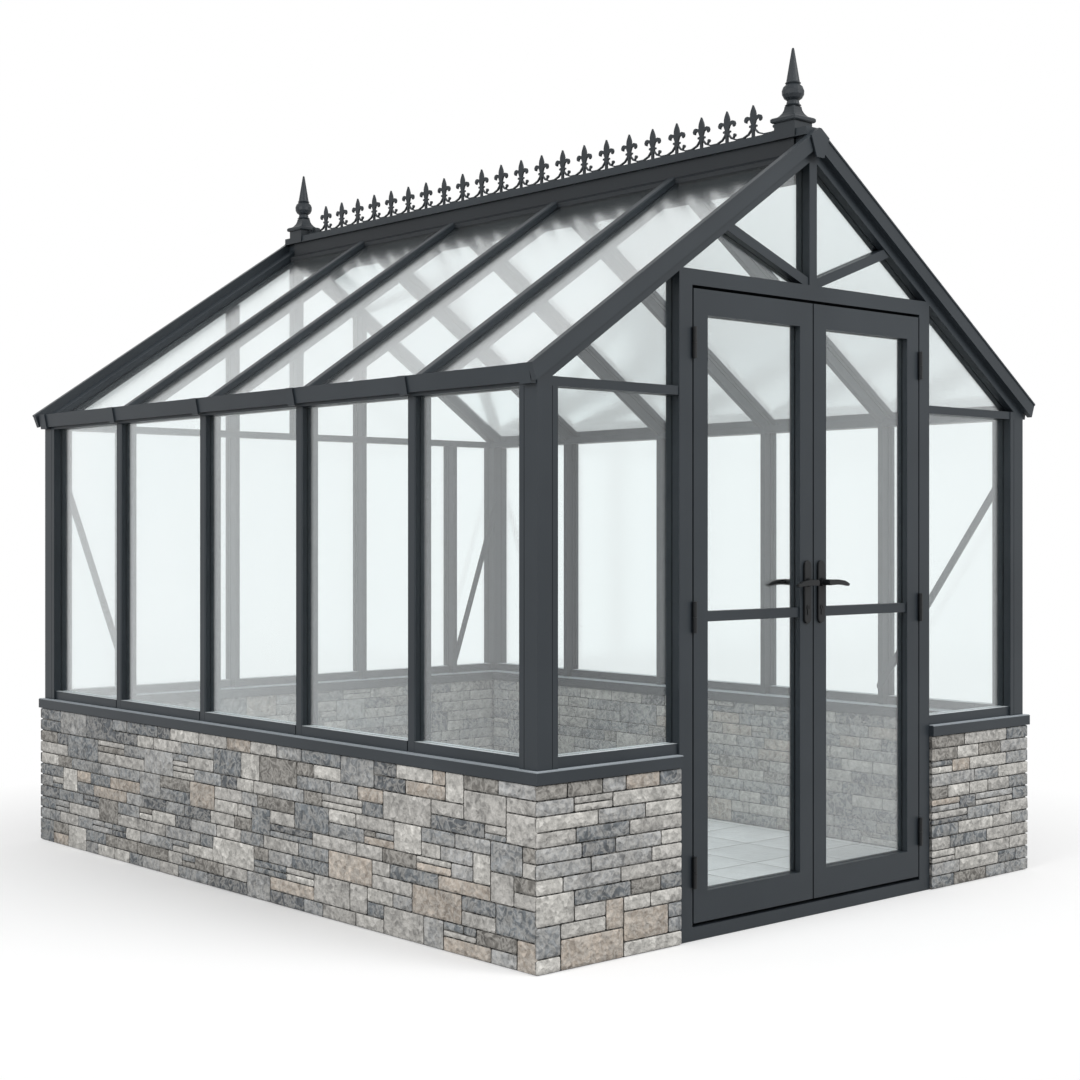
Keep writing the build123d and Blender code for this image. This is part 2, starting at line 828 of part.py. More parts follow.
def front_gable():
    y_range = (front(transom_setback), front(frame_depth))
    transom = block((opening_half, beam_inner), y_range, (beam_bottom, beam_top))
    write("front_transoms", left_right(slotted(transom, front_slots)))
    slots = [copy for slot in front_slots[2:] for copy in left_right(slot)]
    half = king_post_width / 2
    king = block((-half, half), (-face_y, front(frame_depth)), (head_top, ridge_cap_bottom))
    king = slotted(king, slots)
    slots = [copy for slot in back_slots[3:4] for copy in left_right(slot)]
    back_king = block((-half, half), (-face_y, front(frame_depth)), (beam_top, ridge_cap_bottom))
    write("king_posts", [king, mirror(slotted(back_king, slots), Plane.XZ)])
    reach_z = roof_z(strut_reach, -rafter_drop)
    angle = math.degrees(math.atan2(reach_z - head_top, strut_reach))
    strut = Pos(0, head_top) * Rot(0, 0, angle) * Rectangle(3 * strut_reach, strut_width)
    clear = Polyline(
        (half, head_top),
        (roof_x(head_top, -rafter_drop), head_top),
        (half, roof_z(half, -rafter_drop)),
        close=True,
    )
    strut = strut & make_face(clear)
    outer = extrude(Plane.XZ.offset(-glass_front + clearance) * strut,
                    glass_setback - clearance - strut_setback)
    inner = extrude(Plane.XZ.offset(-glass_back - clearance - strut_inner_depth) * strut,
                    strut_inner_depth)
    write("gable_struts", left_right(outer) + left_right(inner))
    panes = [front_lower_pane(), front_transom_pane(), front_head_pane()]
    write("front_gable_glass", [copy for pane in panes for copy in left_right(pane)])


# Back gable, drawn at the front and mirrored
def back_gable():
    y_range = (front(transom_setback), front(frame_depth))
    tie = block((-beam_inner, beam_inner), y_range, (beam_bottom, beam_top))
    slots = [copy for slot in back_slots for copy in left_right(slot)]
    write("back_tie_beam", [mirror(slotted(tie, slots), Plane.XZ)])
    section = glazing_bar_section()
    lower = [
        bar(section, (x, -face_y + glass_setback, cill_top), (0, 0, 1), (0, -1, 0), beam_bottom - cill_top)
        for x in (back_inner_mullion, back_outer_mullion)
    ]
    upper = bar(section, (back_inner_mullion, -face_y + glass_setback, beam_top), (0, 0, 1), (0, -1, 0), far)
    keep = [
        (0, 0),
        (roof_x(0, -rafter_drop), 0),
        (0, roof_z(0, -rafter_drop)),
    ]
    upper = upper & prism_y(keep, (-face_y, 0))
    bars = [copy for b in lower + [upper] for copy in left_right(b)]
    write("back_mullions", [mirror(b, Plane.XZ) for b in bars])
    middle, *paired = back_lower_panes() + back_upper_panes()
    panes = [middle] + [copy for pane in paired for copy in left_right(pane)]
    write("back_gable_glass", [mirror(pane, Plane.XZ) for pane in panes])


def brace_outline(top, foot):
    """A flat bar with cut corners between two (along, up) points."""
    run = math.hypot(foot[0] - top[0], foot[1] - top[1])
    angle = math.degrees(math.atan2(foot[1] - top[1], foot[0] - top[0]))
    middle = ((top[0] + foot[0]) / 2, (top[1] + foot[1]) / 2)
    strip = Rectangle(run + brace_width, brace_width)
    return Pos(*middle) * Rot(0, 0, angle) * chamfer(strip.vertices(), brace_corner)


def braces():
    post_inner = (inner_depth + glass_setback) / 2 + brace_end_inset
    top = (face_x - post_inner, brace_top)
    foot = (back_outer_mullion, base_rail_top + brace_foot)
    outline = brace_outline(top, foot)
    back = extrude(Plane.XZ.offset(face_y - inner_depth) * outline, -brace_thickness)
    side_top = (-face_y + post_inner, brace_top)
    side_foot = (bay_lines[0], base_rail_top + brace_foot)
    outline = brace_outline(side_top, side_foot)
    side = extrude(Plane.YZ.offset(face_x - inner_depth) * outline, -brace_thickness)
    write("braces", [mirror(b, Plane.XZ) for b in left_right(back)] + [side])


# Doors, drawn as the right leaf
leaf_outer_x = jamb_x - leaf_side_gap
leaf_inner_x = leaf_meeting_gap / 2
leaf_bottom = threshold_height + leaf_bottom_gap
leaf_top = door_head_bottom - leaf_top_gap
leaf_thickness = frame_depth - door_stop_depth - leaf_stop_gap
leaf_y = (-face_y, -face_y + leaf_thickness)
hinge_heights = (leaf_bottom + hinge_foot_inset, mid_rail_centre, leaf_top - hinge_top_inset)
hinge_x = (leaf_outer_x + jamb_x) / 2
hinge_y = -face_y - hinge_radius - clearance
lever_x = leaf_inner_x + stile_width / 2


def leaf_pane(z_low, z_high, slack=0):
    thick = clearance if slack else 0
    y0 = -face_y + leaf_glass_setback
    inset = stile_width - pane_hold - slack
    x_range = (leaf_inner_x + inset, leaf_outer_x - inset)
    return block(x_range, (y0 - thick, y0 + glass_thickness + thick), (z_low - slack, z_high + slack))


def leaf_panes(slack=0):
    low = leaf_bottom + bottom_rail_height - pane_hold
    mid_low = mid_rail_centre - mid_rail_height / 2 + pane_hold
    mid_high = mid_rail_centre + mid_rail_height / 2 - pane_hold
    high = leaf_top - top_rail_height + pane_hold
    return [leaf_pane(low, mid_low, slack), leaf_pane(mid_high, high, slack)]


def leaf_frame():
    slots = leaf_panes(slack=1)
    height = leaf_top - leaf_bottom
    meeting = [
        (leaf_inner_x, leaf_y[0]),
        (leaf_inner_x + stile_width, leaf_y[0]),
        (leaf_inner_x + stile_width, leaf_y[1]),
        (leaf_inner_x + leaf_bevel, leaf_y[1]),
    ]
    inner_stile = prism_z(meeting, (leaf_bottom, leaf_top))
    hole = Cylinder(spindle_radius + spindle_clearance, 3 * leaf_thickness)
    inner_stile -= Pos(lever_x, -face_y, lever_height) * Rot(90, 0, 0) * hole
    outer_stile = block((leaf_outer_x - stile_width, leaf_outer_x), leaf_y, (leaf_bottom, leaf_top))
    x_range = (leaf_inner_x + stile_width, leaf_outer_x - stile_width)
    bottom = block(x_range, leaf_y, (leaf_bottom, leaf_bottom + bottom_rail_height))
    top = block(x_range, leaf_y, (leaf_top - top_rail_height, leaf_top))
    mid_y = (leaf_y[0] + mid_rail_setback, leaf_y[1] - mid_rail_setback)
    half = mid_rail_height / 2
    middle = block(x_range, mid_y, (mid_rail_centre - half, mid_rail_centre + half))
    stiles = [slotted(inner_stile, slots), slotted(outer_stile, slots)]
    rails = [slotted(rail, slots) for rail in (bottom, middle, top)]
    return stiles, rails


def rod(radius, length, sides):
    """A round bar up from the origin, drawn with flat sides."""
    return extrude(RegularPolygon(radius, sides), length)


def hinge_frame_halves():
    """Lower barrels with their pins, on flaps let in beside the post."""
    halves = []
    for z in hinge_heights:
        low = z - hinge_length / 2
        barrel_height = (hinge_length - hinge_gap) / 2
        pin = Pos(0, 0, barrel_height) * rod(hinge_pin_radius, hinge_pin_reach, 10)
        half = Pos(hinge_x, hinge_y, low) * (rod(hinge_radius, barrel_height, 12) + pin)
        flap = block((jamb_x - hinge_flap, jamb_x), (hinge_y, -face_y + hinge_flap_depth),
                     (low, low + barrel_height))
        halves.append(half + flap)
    return halves


def hinge_leaf_halves():
    """Upper barrels bored for the pins, on flaps let in beside the leaf."""
    halves = []
    for z in hinge_heights:
        barrel_height = (hinge_length - hinge_gap) / 2
        low = z + hinge_length / 2 - barrel_height
        flap = block((leaf_outer_x, leaf_outer_x + hinge_flap), (hinge_y, -face_y + hinge_flap_depth),
                     (low, low + barrel_height))
        bore = Cylinder(hinge_pin_radius + hinge_pin_clearance, hinge_pin_reach + hinge_gap,
                        align=(Align.CENTER, Align.CENTER, Align.MIN))
        half = Pos(hinge_x, hinge_y, low) * rod(hinge_radius, barrel_height, 12) + flap
        halves.append(half - Pos(hinge_x, hinge_y, low) * bore)
    return halves


def handle_plates():
    """Outer and inner plate with rounded ends, a bevelled rim and a lock cylinder."""
    radius = handle_plate_width / 2
    low, high = handle_plate_bottom + radius, handle_plate_bottom + handle_plate_height - radius
    points = chords([(radius, high)], CenterArc((0, high), radius, 0, 180), 6)
    points = chords(points + [(-radius, low)], CenterArc((0, low), radius, 180, 180), 6)
    outline = make_face(Polyline(*points, close=True))
    plate = extrude(Plane.XZ.offset(face_y) * outline, handle_plate_thickness)
    plate = chamfer(plate.faces().sort_by(Axis.Y)[0].edges(), plate_bevel)
    plate -= Pos(0, -face_y, lever_height) * Rot(90, 0, 0) * rod(
        spindle_radius + spindle_clearance, 2 * handle_plate_thickness, 12
    )
    barrel = Pos(0, keyhole_height + lock_height / 2 - lock_radius) * RegularPolygon(lock_radius, 12)
    leg_top = keyhole_height + lock_height / 2 - lock_radius
    leg = Pos(0, (leg_top + keyhole_height - lock_height / 2) / 2) * Rectangle(
        lock_leg_width, leg_top - keyhole_height + lock_height / 2
    )
    slot = Pos(0, leg_top) * Rectangle(key_slot_width, key_slot_height)
    proud = handle_plate_thickness + lock_proud
    plate += extrude(Plane.XZ.offset(face_y) * (barrel + leg), proud)
    plate -= extrude(Plane.XZ.offset(face_y + proud) * slot, -2 * lock_proud)
    outer = Pos(lever_x, 0, 0) * plate
    middle_y = (leaf_y[0] + leaf_y[1]) / 2
    inner = Pos(0, 2 * middle_y, 0) * mirror(outer, Plane.XZ)
    return [outer, inner]


def lever_grip():
    """Tapered, drooping lever from its round root at the origin to its tip: (along, up)."""
    root, tip = lever_width / 2, lever_tip_width / 2
    neck = lever_length - tip
    points = [
        (0, root),
        (lever_length * 0.4, root * 0.95),
        (lever_length * 0.75, root * 0.85 - lever_droop * 0.4),
        (neck, tip - lever_droop),
        (lever_length, tip / 2 - lever_droop),
        (lever_length, -tip / 2 - lever_droop),
        (neck, -tip - lever_droop),
        (lever_length * 0.7, -root * 0.75 - lever_droop * 0.35),
        (lever_length * 0.35, -root * 0.85),
        (0, -root),
        (-root * 0.7, -root * 0.7),
        (-root, 0),
        (-root * 0.7, root * 0.7),
    ]
    return make_face(Polyline(*points, close=True))


def lever_set():
    """Outside and inside levers on one spindle."""
    start = handle_plate_thickness + clearance
    turned = Pos(0, -face_y - start, 0) * Rot(90, 0, 0) * (
        rod(lever_rose_radius, lever_rose_height, 12) + rod(lever_neck_radius, lever_neck_length, 12)
    )
    grip_y = start + lever_neck_length
    grip = extrude(Plane.XZ.offset(face_y + grip_y - lever_thickness) * lever_grip(), lever_thickness)
    outer = Pos(lever_x, 0, lever_height) * (turned + grip)
    middle_y = (leaf_y[0] + leaf_y[1]) / 2
    inner = Pos(0, 2 * middle_y, 0) * mirror(outer, Plane.XZ)
    length = leaf_thickness + 2 * grip_y
    spindle = Rot(90, 0, 0) * rod(spindle_radius, length, 12)
    return outer + Pos(lever_x, middle_y + length / 2, lever_height) * spindle + inner


def doors():
    stiles, rails = leaf_frame()
    pieces = {
        "stiles": stiles,
        "rails": rails,
        "glass": leaf_panes(),
        "hinges": hinge_leaf_halves(),
        "handle_plates": handle_plates(),
        "levers": [lever_set()],
    }
    for name, shapes in pieces.items():
        write("right_door_" + name, shapes)
        write("left_door_" + name, [mirror(shape, Plane.YZ) for shape in shapes])
    write("door_post_hinges", [copy for half in hinge_frame_halves() for copy in left_right(half)])


dwarf_walls()
floor_slab()
cills()
corner_posts()
side_mullions()
base_rails()
eaves_beams()
gutters()
write("side_glass", [copy for i in range(side_bays) for copy in left_right(side_pane(i))])
roof_bars()
roof_glass()
gable_rafters()
verge_caps()
bargeboards()
apex_plates()
ridge()
finials()
cresting()
door_frame()
door_stops()
front_gable()
back_gable()
braces()
doors()
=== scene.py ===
import json
import math
import random

import bpy
import numpy as np
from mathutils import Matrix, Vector


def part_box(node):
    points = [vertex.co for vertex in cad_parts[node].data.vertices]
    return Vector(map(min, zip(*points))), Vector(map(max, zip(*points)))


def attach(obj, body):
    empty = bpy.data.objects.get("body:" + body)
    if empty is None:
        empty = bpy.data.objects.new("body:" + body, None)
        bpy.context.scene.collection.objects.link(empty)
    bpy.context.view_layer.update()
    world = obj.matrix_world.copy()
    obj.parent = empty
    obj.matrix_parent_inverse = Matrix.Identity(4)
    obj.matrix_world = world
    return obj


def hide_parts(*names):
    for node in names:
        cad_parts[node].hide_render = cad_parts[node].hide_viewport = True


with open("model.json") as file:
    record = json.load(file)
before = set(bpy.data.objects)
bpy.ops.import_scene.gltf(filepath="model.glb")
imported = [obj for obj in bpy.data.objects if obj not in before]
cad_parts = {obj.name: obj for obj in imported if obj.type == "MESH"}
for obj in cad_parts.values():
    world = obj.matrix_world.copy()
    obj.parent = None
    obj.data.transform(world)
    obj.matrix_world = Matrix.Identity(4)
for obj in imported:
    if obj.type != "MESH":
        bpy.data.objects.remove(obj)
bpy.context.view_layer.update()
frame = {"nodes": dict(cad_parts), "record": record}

# A glass greenhouse on a stone dwarf wall. Metres, +Z up, and the door gable faces -Y.

nodes = frame["nodes"]
scene = bpy.context.scene

# Camera, at the photograph's viewing angle
camera_place = (-4.638, -5.376, 1.265)
camera_tilt = 90.0
camera_heading = -41.707
camera_lens = 59.83
camera_sensor = 36.0
camera_shift = -0.0061

# Paint on the metal. Where a normal's z passes the listed tilt, a cill or base rail turns to a paler
# colour: a painted highlight of the light that its upward faces catch.
paint = ("23292e", "2a3035")
# The ridge beam's darker paint is painted shade, for its recess under the ridge cap.
ridge_painted_shade = ("181c20", "1d2226")
casting_paint = ("22272b", "2a2f34")
black_paint = ("0b0d0f", "111417")
cill_painted_highlight = "a9b1b7"
rail_painted_highlight = "ccd2d5"
painted_highlight_tilt = (0.5, 0.95)
paint_cloud_scale = 3.0
paint_cloud_stops = (0.3, 0.7)
paint_specular = 0.3
paint_roughness_spread = (0.05, 0.07)
peel_height = 0.0005
frame_arris = 0.0012
ironmongery_arris = 0.0007
arris_angle = 28

# Glass: a clear pane with a film that grows as the pane turns edge-on
film_tints = ("f6fafb", "fafcfd")
film_cloud_scale = 1.3
film_cloud_stops = (0.35, 0.7)
film_roughness = 0.16
film_least = 0.035
film_growth = 2.0
film_most = 0.37
film_power = 3.0
pane_clear = "fcfefe"

# Stone finish: each mark darkens by its strength and brightens by a share of it
mark_stops = (0.34, 0.66)
mark_brightening = 0.6
facet_stops = (0.15, 0.85)
facet_brightening = 0.8
streak_tone = "cfccc6"
streak_level = 0.5
streak_sharpness = 9.0
facet_smoothness = 0.3
facet_warp = 0.8
facet_rise = 1.6
pit_rise = 1.6
stone_height = 0.004
stone_roughness_spread = (0.08, 0.1)
pattern_reach = 40

# Walling, laid as separate stones, whose points are a step apart
walling_seed = 7
courses = 12
inside_courses = 11
joint = 0.0046
joint_depth = 0.009
stone_depth = joint_depth + 0.003
stone_ends = (stone_depth, stone_depth)
rim_width = 0.0034
rim_drop = 0.0026
relief = 0.0024
swell = (0.05, 0.034)
ripple = (0.018, 0.015)
ripple_share = 0.5
rim_painted_highlight = 0.3
side_painted_shade = (0.12, 0.45)
outside_step = 0.009
inside_step = 0.016
# Stones on the inner faces are darkened by this share: painted shade inside the room.
inside_painted_shade = 0.7
corner_gap = 0.004
under_cill = 0.001
core_inset = 0.004
core_overlap = 0.01
touching = 0.001
mortar = "1b1a19"
stone_tone_spread = (0.9, 1.1)
stone_tones = [
    ("aeaca8", 20), ("bfbdb8", 14), ("9d9e9e", 14), ("86898b", 16),
    ("6c7175", 16), ("5d6165", 8), ("7c7974", 7), ("aca297", 5),
]

# Lengths of the blocks in a course
short_block = (0.09, 0.16)
long_block = (0.14, 0.27)
any_block = (0.09, 0.26)
least_lap = 0.022
lap_tries = 6
least_block = 0.06
longest_block = 0.3
longest_tall_block = 0.27
least_cut_block = 0.15
long_rest_cut = (0.4, 0.6)
tall_chance = 0.12
strip_chance = 0.08
strip_height = (0.42, 0.58)
short_strips_chance = 0.5
short_strip_cut = (0.35, 0.65)

# Paving
paving_seed = 11
slab_size = 0.3
slab_joint = 0.0075
slab_step = 0.05
slab_depth = 0.006
slab_drop = 0.0012
slab_relief = 0.0003
slab_tone = "dfe1e2"
slab_tone_spread = (0.9, 1.04)
least_slab = 0.02
grout = "565757"
grout_inset = 0.0035
grout_drop = 0.002

# Door seals, set back from the leaf's outer face
rubber_tones = ("0a0b0c", "111213")
seal_reach = 0.0025
seal_half = 0.005
seal_setback = 0.009
seal_root = 0.0014
seal_steps = 10
seal_end = 0.001

# Studio
floor_reach = 60.0
floor_drop = 0.001
floor_lit = "b4b4b4"
floor_seen = "f4f4f4"
floor_fade = (1.2, 3.2)
floor_roughness = 0.9
world_strength = (0.62, 1.0)
lamp_target = (0, 0, 1.2)
lamp_size = 5.0
lamps = {"key": ((1.5, -8.0, 6.0), 450), "side": ((-8.5, -2.0, 5.0), 430)}


def add_object(name, data):
    made = bpy.data.objects.new(name, data)
    scene.collection.objects.link(made)
    return made


def make_camera():
    data = bpy.data.cameras.new("camera")
    data.sensor_width = camera_sensor
    data.lens = camera_lens
    data.shift_y = camera_shift
    camera = add_object("camera", data)
    camera.location = camera_place
    camera.rotation_euler = (math.radians(camera_tilt), 0, math.radians(camera_heading))
    scene.camera = camera


# Shader nodes
def colour(hex_code):
    """Linear colour of an sRGB hex code."""
    parts = [int(hex_code[i:i + 2], 16) / 255 for i in (0, 2, 4)]
    return [c / 12.92 if c <= 0.04045 else ((c + 0.055) / 1.055) ** 2.4 for c in parts] + [1.0]


def grey(level):
    """A neutral linear colour, whose level may pass 1 where it multiplies another."""
    return (level, level, level, 1)


def new_material(name):
    material = bpy.data.materials.new(name)
    material.use_nodes = True
    tree = material.node_tree
    return material, tree, tree.nodes["Principled BSDF"]


def fill(tree, socket, value):
    """Feeds a socket from another node's output, or sets a plain value on it."""
    if isinstance(value, bpy.types.NodeSocket):
        tree.links.new(value, socket)
    else:
        socket.default_value = value


def add_node(tree, kind, **inputs):
    """A new shader node; base_color=... fills its input called Base Color."""
    made = tree.nodes.new("ShaderNode" + kind)
    for name, value in inputs.items():
        fill(tree, made.inputs[name.replace("_", " ").title()], value)
    return made


def object_place(tree):
    return add_node(tree, "TexCoord").outputs["Object"]


def noise(tree, place, scale, detail, distortion=0.0):
    made = add_node(tree, "TexNoise", vector=place, scale=scale, detail=detail, distortion=distortion)
    return made.outputs["Fac"]


def ramp(tree, source, stops, low, high):
    """A colour that runs from low to high between two stops."""
    made = add_node(tree, "ValToRGB", fac=source)
    for element, position, value in zip(made.color_ramp.elements, stops, (low, high)):
        element.position = position
        element.color = value
    return made.outputs["Color"]


def map_range(tree, value, to_min, to_max):
    return add_node(tree, "MapRange", value=value, to_min=to_min, to_max=to_max).outputs["Result"]


def bump(tree, height, strength, distance):
    return add_node(tree, "Bump", height=height, strength=strength, distance=distance).outputs["Normal"]


def maths(tree, operation, *values):
    made = tree.nodes.new("ShaderNodeMath")
    made.operation = operation
    for socket, value in zip(made.inputs, values):
        fill(tree, socket, value)
    return made.outputs["Value"]


def mixed(tree, blend, factor, first, second):
    """A mix of two colours, whose sockets are numbers 0, 6 and 7 in and 2 out."""
    made = tree.nodes.new("ShaderNodeMix")
    made.data_type = "RGBA"
    made.blend_type = blend
    for number, value in ((0, factor), (6, first), (7, second)):
        fill(tree, made.inputs[number], value)
    return made.outputs[2]


def end_in_mix(tree, factor, first, second):
    """Ends a material in a mix of two shaders."""
    made = tree.nodes.new("ShaderNodeMixShader")
    for socket, value in zip(made.inputs, (factor, first, second)):
        fill(tree, socket, value)
    fill(tree, tree.nodes["Material Output"].inputs["Surface"], made.outputs["Shader"])


# Materials
def coated_metal(name, tones, roughness, grain=900.0, peel_strength=0.04, painted_highlight=None):
    """Powder coat: a slight change of tone and a fine orange-peel bump.

    The optional paler colour goes on faces that look up, as a painted highlight on cills and rails.
    """
    material, tree, shader = new_material(name)
    low, high = tones
    smoother, rougher = paint_roughness_spread
    clouds = noise(tree, object_place(tree), paint_cloud_scale, 3.0)
    tone = ramp(tree, clouds, paint_cloud_stops, colour(low), colour(high))
    if painted_highlight:
        # A painted highlight: faces that look up turn to the paler colour.
        normal = add_node(tree, "NewGeometry").outputs["True Normal"]
        height = add_node(tree, "SeparateXYZ", vector=normal).outputs["Z"]
        highlight_share = ramp(tree, height, painted_highlight_tilt, grey(0), grey(1))
        tone = mixed(tree, "MIX", highlight_share, tone, colour(painted_highlight))
    peel = noise(tree, object_place(tree), grain, 2.0)
    fill(tree, shader.inputs["Base Color"], tone)
    fill(tree, shader.inputs["Specular IOR Level"], paint_specular)
    fill(tree, shader.inputs["Roughness"], map_range(tree, peel, roughness - smoother, roughness + rougher))
    fill(tree, shader.inputs["Normal"], bump(tree, peel, peel_strength, peel_height))
    return material


def glass_material():
    """Thin clear glass: see-through, with a bright reflection that grows as it turns edge-on."""
    material, tree, shader = new_material("clear_glass")
    low, high = film_tints
    clouds = noise(tree, object_place(tree), film_cloud_scale, 2.0)
    tint = ramp(tree, clouds, film_cloud_stops, colour(low), colour(high))
    fill(tree, shader.inputs["Base Color"], tint)
    fill(tree, shader.inputs["Metallic"], 1.0)
    fill(tree, shader.inputs["Roughness"], film_roughness)
    clear = add_node(tree, "BsdfTransparent", color=colour(pane_clear))
    facing = add_node(tree, "LayerWeight", blend=0.5)
    turned = maths(tree, "POWER", facing.outputs["Facing"], film_power)
    film = maths(tree, "MULTIPLY_ADD", turned, film_growth, film_least)
    amount = maths(tree, "MINIMUM", film, film_most)
    end_in_mix(tree, amount, clear.outputs["BSDF"], shader.outputs["BSDF"])
    return material


def split_facets(tree, place, scale):
    """Voronoi cells with bent edges, for the faces that a chisel leaves."""
    made = add_node(tree, "TexVoronoi")
    made.feature = "SMOOTH_F1"
    warp = add_node(tree, "TexNoise", vector=place, scale=scale * facet_warp)
    bent = tree.nodes.new("ShaderNodeVectorMath")
    bent.operation = "MULTIPLY_ADD"
    for socket, value in zip(bent.inputs, (warp.outputs["Color"], (facet_warp / scale,) * 3, place)):
        fill(tree, socket, value)
    fill(tree, made.inputs["Vector"], bent.outputs["Vector"])
    fill(tree, made.inputs["Scale"], scale)
    fill(tree, made.inputs["Smoothness"], facet_smoothness)
    return made


def stone_material(name, patch, vein, pits, facet, grain, bump_strength, roughness):
    """Stone that takes its tone from each block, with patches, split facets, pale streaks, pits and grain.

    patch, vein, pits, facet and grain are each a scale and a strength.
    """
    material, tree, shader = new_material(name)
    move = tree.nodes.new("ShaderNodeVectorMath")
    shift = tree.nodes.new("ShaderNodeAttribute")
    shift.attribute_name = "shift"
    fill(tree, move.inputs[0], object_place(tree))
    fill(tree, move.inputs[1], shift.outputs["Vector"])
    place = move.outputs["Vector"]
    block_tone = tree.nodes.new("ShaderNodeAttribute")
    block_tone.attribute_name = "tone"
    tone = block_tone.outputs["Color"]

    clouds = noise(tree, place, patch[0], detail=3.0, distortion=0.8)
    hollows = noise(tree, place, pits[0], detail=4.0, distortion=0.5)
    fine = noise(tree, place, grain[0], detail=4.0, distortion=0.4)
    for source, spread in ((clouds, patch[1]), (hollows, pits[1]), (fine, grain[1])):
        shade = ramp(tree, source, mark_stops, grey(1 - spread), grey(1 + spread * mark_brightening))
        tone = mixed(tree, "MULTIPLY", 1.0, tone, shade)
    facets = split_facets(tree, place, facet[0])
    low, high = grey(1 - facet[1]), grey(1 + facet[1] * facet_brightening)
    shade = ramp(tree, facets.outputs["Color"], facet_stops, low, high)
    tone = mixed(tree, "MULTIPLY", 1.0, tone, shade)

    lines = noise(tree, place, vein[0], detail=2.5, distortion=0.9)
    away = maths(tree, "ABSOLUTE", maths(tree, "SUBTRACT", lines, streak_level))
    rise = maths(tree, "MULTIPLY_ADD", away, -streak_sharpness * vein[1], vein[1])
    streak = maths(tree, "MAXIMUM", rise, 0.0)
    tone = mixed(tree, "MIX", streak, tone, colour(streak_tone))

    pitted = maths(tree, "MULTIPLY_ADD", hollows, pit_rise, fine)
    height = maths(tree, "MULTIPLY_ADD", facets.outputs["Distance"], facet_rise, pitted)
    fill(tree, shader.inputs["Base Color"], tone)
    smoother, rougher = stone_roughness_spread
    fill(tree, shader.inputs["Roughness"], map_range(tree, fine, roughness - smoother, roughness + rougher))
    fill(tree, shader.inputs["Normal"], bump(tree, height, bump_strength, stone_height))
    return material


def walling_material():
    return stone_material(
        "walling", patch=(12.0, 0.2), vein=(30.0, 0.36), pits=(48.0, 0.24), facet=(58.0, 0.3),
        grain=(150.0, 0.1), bump_strength=0.9, roughness=0.85,
    )


def paving_material():
    return stone_material(
        "paving", patch=(5.0, 0.06), vein=(7.0, 0.06), pits=(22.0, 0.05), facet=(16.0, 0.03),
        grain=(90.0, 0.04), bump_strength=0.1, roughness=0.72,
    )


def round_edges(target, width):
    """A small round on every arris, so that it catches the light."""
    bevel = target.modifiers.new("arris", "BEVEL")
    bevel.width = width
    bevel.segments = 2
    bevel.limit_method = "ANGLE"
    bevel.angle_limit = math.radians(arris_angle)
    bevel.harden_normals = True


def finish_nodes():
    """Gives every CAD node its material, by its slot or, where the photo differs, by its name."""
    finish = {
        "frame": coated_metal("frame_paint", paint, roughness=0.42),
        "ornament": coated_metal(
            "casting_paint", casting_paint, roughness=0.45, grain=500.0, peel_strength=0.1,
        ),
        "ironmongery": coated_metal("black_paint", black_paint, roughness=0.36),
        "glass": glass_material(),
        "stone_wall": walling_material(),
        "paving": paving_material(),
    }
    special = {
        # Darker paint on the ridge beam: painted shade.
        "ridge_beam": coated_metal("ridge_painted_shade", ridge_painted_shade, roughness=0.5),
        # Paler upward faces on cills and base rails: a painted highlight.
        "cill": coated_metal("cill_paint_with_painted_highlight", paint, roughness=0.42, painted_highlight=cill_painted_highlight),
        "base_rail": coated_metal("rail_paint_with_painted_highlight", paint, roughness=0.42, painted_highlight=rail_painted_highlight),
    }
    arris = {"frame": frame_arris, "ornament": frame_arris, "ironmongery": ironmongery_arris}
    slot_of = {row["node"]: row["material_slot"] for row in frame["record"]["subparts"]}
    for name, target in nodes.items():
        slot = slot_of[name]
        by_name = [material for start, material in special.items() if name.startswith(start)]
        target.data.materials.clear()
        target.data.materials.append(by_name[0] if by_name else finish[slot])
        if slot in arris:
            round_edges(target, arris[slot])
    return finish


# Stones
def value_noise(x, y, seed):
    """Smooth noise from 0 to 1 on a unit lattice."""
    def corner(i, j):
        """A scattered value at a lattice point, the same on every run."""
        return np.modf(np.abs(np.sin(i * 127.1 + j * 311.7 + seed * 74.7) * 43758.5453))[0]

    i, j = np.floor(x), np.floor(y)
    u, v = x - i, y - j
    u, v = u * u * (3 - 2 * u), v * v * (3 - 2 * v)
    low = corner(i, j) * (1 - u) + corner(i + 1, j) * u
    high = corner(i, j + 1) * (1 - u) + corner(i + 1, j + 1) * u
    return low * (1 - v) + high * v


def block_length(chance, place, end, joints_below):
    """A random length that breaks the joints below and leaves no sliver at the end."""
    size = chance.choice([chance.uniform(*short_block), chance.uniform(*long_block)])
    for _ in range(lap_tries):
        if all(abs(place + size - j) > least_lap for j in joints_below):
            break
        size = chance.uniform(*any_block)
    left = end - place
    if left - size < least_block:
        size = left if left < longest_block else left * chance.uniform(*long_rest_cut)
    return size


def lay_courses(chance, length, rows):
    """Blocks of random length as (start, end, row, rows high), broken over the joints below."""
    blocks = []
    taken = [[] for _ in range(rows + 1)]
    below = []
    for row in range(rows):
        joints = []
        edges = [0.0] + [e for span in sorted(taken[row]) for e in span] + [length]
        for start, end in zip(edges[::2], edges[1::2]):
            place = start
            while end - place > touching:
                size = block_length(chance, place, end, below)
                tall = row < rows - 1 and size < longest_tall_block and chance.random() < tall_chance
                if tall and any(place < b and a < place + size for a, b in taken[row + 1]):
                    tall = False
                if tall:
                    taken[row + 1].append((place, place + size))
                blocks.append((place, place + size, row, 2 if tall else 1))
                place += size
                joints.append(place)
        below = joints + [e for span in taken[row] for e in span]
    return blocks


